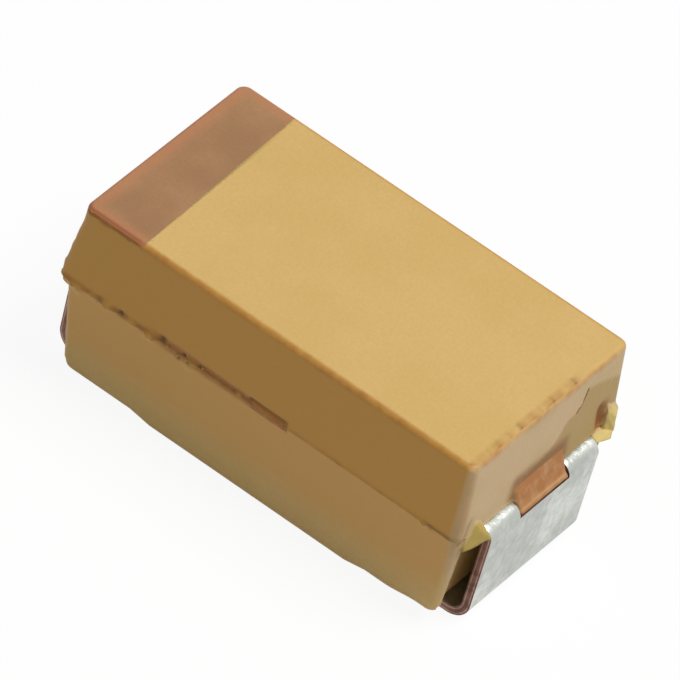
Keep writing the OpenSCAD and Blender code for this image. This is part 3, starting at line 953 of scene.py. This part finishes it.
def mouldedEpoxy():
    # matt ochre resin; browner at its edges and marks, with a paler lower half and a painted sheen on the
    # cathode end face; the marks carry painted shade as well
    material, tree, shader, place = startMaterial(
        "mouldedEpoxy", Roughness=0.52, **{"Specular IOR Level": 0.3})
    x, y, z = splitPlace(tree, place)
    stored = addNode(tree, "ShaderNodeAttribute", attribute_name="marks").outputs
    marks = addNode(tree, "ShaderNodeSeparateColor", {"Color": stored["Color"]}).outputs
    broad = noiseIn(tree, place, 0.9, 3)
    grain = noiseIn(tree, place, 22, 3)
    side = rampTo(tree, maths(tree, "ABSOLUTE", y), halfWidth - 0.12, halfWidth - 0.07)
    lower = rampTo(tree, z, partingZ + 0.04, partingZ - 0.04)
    # painted sheen: the cathode end face under the top edge is paler and greyer, standing in for reflected
    # light
    end = maths(tree, "MULTIPLY", rampTo(tree, x, halfLength - 0.17, halfLength - 0.06),
                rampTo(tree, z, topZ - 0.018, topZ - 0.04))
    brownMarks = maths(tree, "MULTIPLY", marks["Red"], rampTo(tree, noiseIn(tree, place, 7, 4), 0.25, 0.6, 0.65, 1))
    # the marks' brown and dark layers hold the resin's own marks and wear, and also painted shade in the
    # hollow, slot, crack, pockets, pits and gate groove and round the boss; the olive layer (alpha) is
    # painted shade only
    colour = tinted(
        tree, "#d5b16b", (rampTo(tree, broad, 0.35, 0.65), "#d9b571"),
        (rampTo(tree, grain, 0.3, 0.7, 0, 0.25), "#c9a35e"),
        (side, mixColour(tree, lower, "#ce9947", "#d7a65c")),
        (end, mixColour(tree, rampTo(tree, broad, 0.4, 0.6), "#d0b185", "#c8ac7c")),
        (maths(tree, "MULTIPLY", stored["Alpha"], 0.85), "#b09052"),
        (brownMarks, "#a6672f"),
        (maths(tree, "MULTIPLY", marks["Blue"], 0.9),
         mixColour(tree, rampTo(tree, y, -0.5, 0.5), "#b59c49", "#d6c074")),
        (maths(tree, "MULTIPLY", marks["Green"], 0.85), "#5c4420"))
    relief = maths(tree, "ADD", grain, maths(tree, "MULTIPLY", noiseIn(tree, place, 6, 4), 1.6))
    return finishMaterial(material, shader, colour, relief, 0.004)


def markedResin():
    # resin scorched brown by the marking laser, redder at its outer edges
    material, tree, shader, place = startMaterial("markedResin", Roughness=0.5)
    x, y, _ = splitPlace(tree, place)
    broad = noiseIn(tree, place, 1.1, 4)
    grain = noiseIn(tree, place, 26, 3)
    outer = maths(tree, "MAXIMUM", rampTo(tree, x, -halfLength + 0.3, -halfLength + 0.1),
                  maths(tree, "MAXIMUM", rampTo(tree, y, -halfWidth + 0.28, -halfWidth + 0.08),
                        rampTo(tree, y, halfWidth - 0.28, halfWidth - 0.08)))
    stored = addNode(tree, "ShaderNodeAttribute", attribute_name="marks").outputs["Color"]
    brownMarks = addNode(tree, "ShaderNodeSeparateColor", {"Color": stored}).outputs["Red"]
    colour = tinted(
        tree, "#9a7048", (rampTo(tree, broad, 0.35, 0.65), "#aa7e53"),
        (rampTo(tree, grain, 0.3, 0.7, 0, 0.3), "#946741"),
        (maths(tree, "MULTIPLY", outer, 0.65), "#bb7b50"),
        (maths(tree, "MULTIPLY", brownMarks, 0.8), "#9a5230"))
    return finishMaterial(material, shader, colour, grain, 0.004)


def tinPlating():
    # matt tin: soft grey with cloudy patches
    material, tree, shader, place = startMaterial("plating", Metallic=1.0)
    broad = noiseIn(tree, place, 1.7, 5, 0.6)
    fine = noiseIn(tree, place, 9, 5, 0.65)
    colour = tinted(tree, "#b9bcb5", (rampTo(tree, broad, 0.38, 0.62), "#d4d6d0"),
                    (rampTo(tree, fine, 0.42, 0.72, 0, 0.4), "#a6a89f"))
    tree.links.new(rampTo(tree, fine, 0.3, 0.7, 0.28, 0.46), shader.inputs["Roughness"])
    return finishMaterial(material, shader, colour, maths(tree, "ADD", fine, broad), 0.009)


def cutEdge():
    # sheared edge of the strip: purple-brown copper with a paler line near each face
    material, tree, shader, place = startMaterial("cutEdge", Metallic=1.0, Roughness=0.5)
    streak = noiseIn(tree, place, 7, 4, 0.6, (1, 0.2, 1))
    layer = addNode(tree, "ShaderNodeAttribute", attribute_name="layer").outputs["Fac"]
    fromLine = maths(tree, "ABSOLUTE", maths(tree, "SUBTRACT", maths(tree, "ABSOLUTE", layer), 0.55))
    line = maths(tree, "MULTIPLY", rampTo(tree, fromLine, 0.2, 0.05), rampTo(tree, streak, 0.3, 0.6, 0.3, 1))
    colour = tinted(tree, "#64443a", (rampTo(tree, streak, 0.35, 0.6), "#7d5c50"), (line, "#a98c7d"))
    return finishMaterial(material, shader, colour, streak, 0.004)


def plainFinish(name, dark, pale, perMm, bumpMm, roughness, metallic=0.0):
    # two close tones in a grain of this size, with the same grain as relief
    material, tree, shader, place = startMaterial(name, Metallic=metallic, Roughness=roughness)
    grain = noiseIn(tree, place, perMm, 4, 0.6)
    colour = mixColour(tree, rampTo(tree, grain, 0.32, 0.68), dark, pale)
    return finishMaterial(material, shader, colour, grain, bumpMm)


epoxy, marked = mouldedEpoxy(), markedResin()
tinPlating()
cutEdge()

# name, two tones, grains to the millimetre, relief in mm, roughness and, for metals, metallic share
innerFinishes = {
    # drawn tantalum: satin, dark bluish grey
    "riser_wire": ("drawnTantalum", "#6d7074", "#83868a", 9, 0.002, 0.38, 1.0),
    # fluoropolymer: milky white and waxy
    "wire_washer": ("fluoropolymer", "#e9ebe8", "#f4f5f2", 5, 0.001, 0.42),
    # pressed and sintered powder: dull grey grains
    "pellet": ("sinteredPowder", "#54575a", "#74777a", 24, 0.012, 0.75, 0.6),
    # baked manganese dioxide: sooty black, rough
    "manganese_dioxide": ("bakedDioxide", "#1f1d1c", "#35312e", 18, 0.01, 0.85),
    # dipped graphite: dark grey with a dull shine
    "graphite": ("dippedGraphite", "#37393c", "#4b4e52", 12, 0.004, 0.55, 0.3),
    # silver paint: pale, flaky, half matt
    "silver_paint": ("silverPaint", "#b8bab9", "#d3d5d3", 14, 0.005, 0.46, 0.85),
    # silver-filled adhesive: greyer and rougher than the paint
    "silver_adhesive": ("silverAdhesive", "#8f9192", "#aeb0b0", 10, 0.01, 0.6, 0.6),
}
innerMaterials = {node: plainFinish(*finish) for node, finish in innerFinishes.items()}
print("materials made")


# ---- crumbs of flash along the parting line ----

# inputs of the scatter: how many, the smallest and largest radius in mm, and the seed
crumbInputs = {"Count": 13, "Smallest": 0.012, "Largest": 0.028, "Seed": 4}


def makeCrumbs():
    # small grains scattered on a curve that follows the near side of the parting line
    group = bpy.data.node_groups.new("flashCrumbs", "GeometryNodeTree")
    for name, value in crumbInputs.items():
        kind = "NodeSocketInt" if isinstance(value, int) else "NodeSocketFloat"
        group.interface.new_socket(name, in_out="INPUT", socket_type=kind).default_value = value
    group.interface.new_socket("Geometry", in_out="OUTPUT", socket_type="NodeSocketGeometry")
    settings = addNode(group, "NodeGroupInput").outputs
    line = addNode(group, "GeometryNodeCurvePrimitiveLine",
                   {"Start": (-halfLength + 0.1, -halfWidth, partingZ), "End": (-0.9, -halfWidth, partingZ)})
    points = addNode(group, "GeometryNodeResampleCurve", {
        "Curve": line.outputs[0], "Count": settings["Count"]})
    def scatter(low, high):
        return addNode(group, "FunctionNodeRandomValue", {"Min": low, "Max": high, "Seed": settings["Seed"]},
                       data_type="FLOAT_VECTOR").outputs["Value"]

    moved = addNode(group, "GeometryNodeSetPosition", {
        "Geometry": points.outputs[0], "Offset": scatter((-0.07, -0.004, -0.05), (0.07, 0.008, 0.05))})
    ball = addNode(group, "GeometryNodeMeshIcoSphere", {"Radius": 1.0, "Subdivisions": 3})
    dent = maths(group, "SUBTRACT", addNode(group, "ShaderNodeTexNoise", {"Scale": 1.3}).outputs[0], 0.5)
    outward = addNode(group, "ShaderNodeVectorMath", {
        0: addNode(group, "GeometryNodeInputNormal").outputs[0], "Scale": dent}, operation="SCALE")
    rough = addNode(group, "GeometryNodeSetPosition", {
        "Geometry": ball.outputs["Mesh"], "Offset": outward.outputs[0]})
    size = addNode(group, "FunctionNodeRandomValue", {
        "Min_001": settings["Smallest"], "Max_001": settings["Largest"], "Seed": settings["Seed"]},
        data_type="FLOAT")
    placed = addNode(group, "GeometryNodeInstanceOnPoints", {
        "Points": moved.outputs[0], "Instance": rough.outputs[0],
        "Rotation": scatter((0.0, 0.0, 0.0), (6.28, 6.28, 6.28)),
        "Scale": size.outputs[1]})
    real = addNode(group, "GeometryNodeRealizeInstances", {"Geometry": placed.outputs[0]})
    finish = addNode(group, "GeometryNodeSetMaterial", {"Geometry": real.outputs[0]})
    finish.inputs["Material"].default_value = epoxy
    addNode(group, "NodeGroupOutput", {"Geometry": finish.outputs[0]})
    crumbs = newObject("flashCrumbs", [], [])
    crumbs.modifiers.new("scatter", "NODES").node_group = group
    return bakeModifiers(crumbs)


# ---- finishing the pieces ----

for piece, angle in ((caseBlock, 40), (polarityBar, 40), (cathodeTerminal, 50), (anodeTerminal, 50)):
    smoothByAngle(piece, angle)
settle(caseBlock, epoxy, "case_resin", "case")
settle(polarityBar, marked, "marked_resin", "polarity_bar")
for terminal, node in ((cathodeTerminal, "cathode_lead"), (anodeTerminal, "anode_lead")):
    settle(terminal, None, "tinned_strip", node)
settle(makeCrumbs(), None, "case_resin")
for node, finish in innerMaterials.items():
    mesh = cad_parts[node].data
    mesh.materials.clear()
    mesh.materials.append(finish)


# ---- floor, light and surroundings ----

lightSize = {
    "keyDirection": (0.36, 0.14, 0.92),   # from the part to the key light
    "keyDistance": 140.0,
    "keyWidth": 70.0,
    "keyShare": 0.78,      # share of full light that the key gives a face that points at it
    "ambient": 0.25,       # and that the surroundings give
    "floorPaleness": 0.7,
    "floorGlow": 0.92,     # share of the floor's own white, over which its faint shadow lies
}


def seenDirectly(tree):
    rays = addNode(tree, "ShaderNodeLightPath").outputs
    return maths(tree, "MAXIMUM", rays["Is Camera Ray"], rays["Is Glossy Ray"])


def mixShaders(tree, share, first, second):
    return addNode(tree, "ShaderNodeMixShader", {0: share, 1: first.outputs[0], 2: second.outputs[0]})


def makeStage():
    # a white floor that keeps a faint shadow, and lets the underside be seen from below
    half, low = 100, -0.01
    corners = [(-half, -half, low), (half, -half, low), (half, half, low), (-half, half, low)]
    floor = newObject("floor", corners, [(0, 1, 2, 3)])
    floor.data.transform(Matrix.Scale(mm, 4))
    material = bpy.data.materials.new("paleFloor")
    tree = emptyTree(material)
    bounce = addNode(tree, "ShaderNodeBsdfDiffuse", {"Color": [lightSize["floorPaleness"]] * 3 + [1.0]})
    bright = addNode(tree, "ShaderNodeBsdfDiffuse", {"Color": [0.95, 0.95, 0.95, 1.0]})
    glow = addNode(tree, "ShaderNodeEmission", {"Color": [1.0] * 4, "Strength": 1.0})
    shown = mixShaders(tree, lightSize["floorGlow"], bright, glow)
    chosen = mixShaders(tree, seenDirectly(tree), bounce, shown)
    fromBelow = addNode(tree, "ShaderNodeNewGeometry").outputs["Backfacing"]
    behind = mixShaders(tree, fromBelow, chosen, addNode(tree, "ShaderNodeBsdfTransparent"))
    addNode(tree, "ShaderNodeOutputMaterial", {"Surface": behind.outputs[0]})
    floor.data.materials.append(material)

    direction = Vector(lightSize["keyDirection"]).normalized()
    distance = lightSize["keyDistance"] * mm
    key = placeObject("key", bpy.data.lights.new("key", "AREA"))
    key.data.shape = "DISK"
    key.data.size = lightSize["keyWidth"] * mm
    key.data.energy = lightSize["keyShare"] * math.pi ** 2 * distance ** 2
    key.location = direction * distance
    key.rotation_euler = direction.to_track_quat("Z", "Y").to_euler()

    world = bpy.data.worlds.new("surroundings")
    tree = emptyTree(world)
    strength = maths(tree, "MULTIPLY_ADD", seenDirectly(tree), 1 - lightSize["ambient"], lightSize["ambient"])
    back = addNode(tree, "ShaderNodeBackground", {"Color": [1.0] * 4, "Strength": strength})
    addNode(tree, "ShaderNodeOutputWorld", {"Surface": back.outputs[0]})
    bpy.context.scene.world = world
    bpy.context.scene.view_settings.view_transform = "Standard"
    return floor, key


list(makeStage())
print("stage set")
